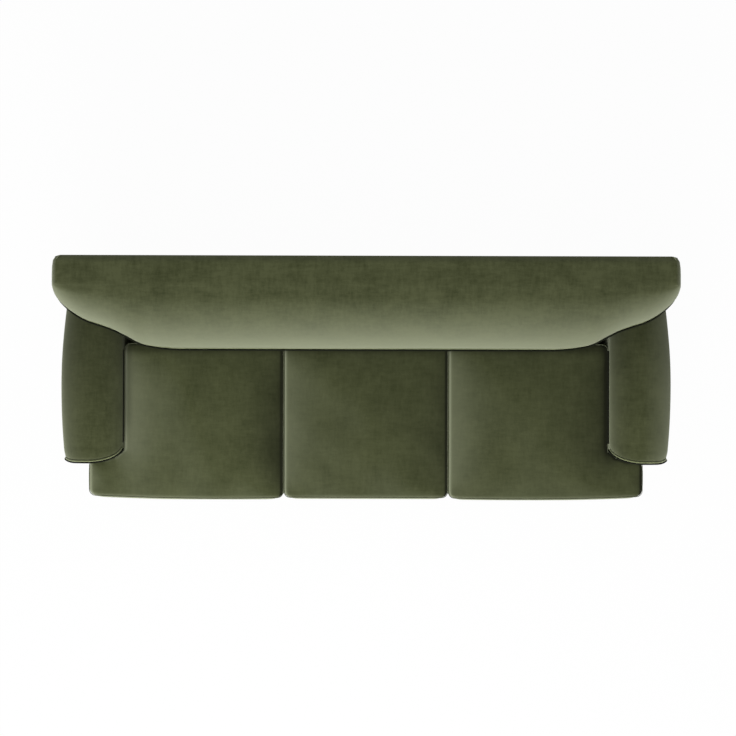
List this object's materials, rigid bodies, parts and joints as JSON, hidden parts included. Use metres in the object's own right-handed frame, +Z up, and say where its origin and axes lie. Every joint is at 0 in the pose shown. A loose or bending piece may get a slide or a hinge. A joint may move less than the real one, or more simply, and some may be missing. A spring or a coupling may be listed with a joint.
{
  "type": "sofa",
  "caption": "Wide upholstered sofa with a tight flared back, rolled arms and loose T-shaped seat cushions on a sprung wooden frame.",
  "frame": {"origin": "on the floor, under the middle of the overall width and depth", "axes": "+X along the width (to the right when the sofa is looked at from the front), +Y towards the rear, +Z up"},
  "size_m": [2.252, 0.8958, 0.86],
  "materials": {
    "velvet": "olive green velvet",
    "velvet_welt": "velvet-covered cord",
    "deck_twill": "plain woven cloth",
    "foam": "open-cell foam",
    "felt": "pressed felt",
    "jute": "woven jute",
    "dust_cloth": "spunbonded black cloth",
    "zip": "zip tape",
    "frame_wood": "sawn softwood and plywood",
    "leg_wood": "dark stained satin",
    "steel": "plain steel",
    "glide_plastic": "moulded nylon"
  },
  "bodies": {
    "sofa_frame": {"leg_front_left": "leg_wood", "leg_front_right": "leg_wood", "leg_rear_left": "leg_wood", "leg_rear_right": "leg_wood", "leg_centre": "leg_wood", "leg_glides": "glide_plastic", "leg_hanger_bolts": "steel", "leg_threaded_inserts": "steel", "front_rail": "frame_wood", "rear_rail": "frame_wood", "side_rail_left": "frame_wood", "side_rail_right": "frame_wood", "stretcher_left": "frame_wood", "stretcher_centre": "frame_wood", "stretcher_right": "frame_wood", "corner_blocks": "frame_wood", "seat_springs": "steel", "spring_clips": "steel", "spring_tie_wires": "steel", "seat_insulator": "jute", "deck_pad": "foam", "deck_cloth": "deck_twill", "arm_base_board_left": "frame_wood", "arm_base_board_right": "frame_wood", "arm_top_board_left": "frame_wood", "arm_top_board_right": "frame_wood", "arm_front_block_left": "frame_wood", "arm_front_block_right": "frame_wood", "back_post_left": "frame_wood", "back_post_right": "frame_wood", "back_top_rail": "frame_wood", "back_tacking_rail": "frame_wood", "back_uprights": "frame_wood", "wing_board_left": "frame_wood", "wing_board_right": "frame_wood", "back_webbing": "jute", "back_foam": "foam", "arm_foam_left": "foam", "arm_foam_right": "foam", "front_border_pad": "felt", "inside_back_cover": "velvet", "outside_back_cover": "velvet", "arm_cover_left": "velvet", "arm_cover_right": "velvet", "arm_front_panel_left": "velvet", "arm_front_panel_right": "velvet", "outside_arm_panel_left": "velvet", "outside_arm_panel_right": "velvet", "front_border_cover": "velvet", "dust_cover": "dust_cloth", "piping": "velvet_welt"},
    "seat_cushion_left": {"cushion_cover_left": "velvet", "cushion_core_left": "foam", "cushion_zip_left": "zip"},
    "seat_cushion_middle": {"cushion_cover_middle": "velvet", "cushion_core_middle": "foam", "cushion_zip_middle": "zip"},
    "seat_cushion_right": {"cushion_cover_right": "velvet", "cushion_core_right": "foam", "cushion_zip_right": "zip"}
  },
  "joints": [
    {"name": "seat_cushion_left_slide", "type": "slide", "parent": "sofa_frame", "child": "seat_cushion_left", "axis": [0, -1, 0], "range_m": [0, 0.6]},
    {"name": "seat_cushion_middle_slide", "type": "slide", "parent": "sofa_frame", "child": "seat_cushion_middle", "axis": [0, -1, 0], "range_m": [0, 0.6]},
    {"name": "seat_cushion_right_slide", "type": "slide", "parent": "sofa_frame", "child": "seat_cushion_right", "axis": [0, -1, 0], "range_m": [0, 0.6]}
  ]
}
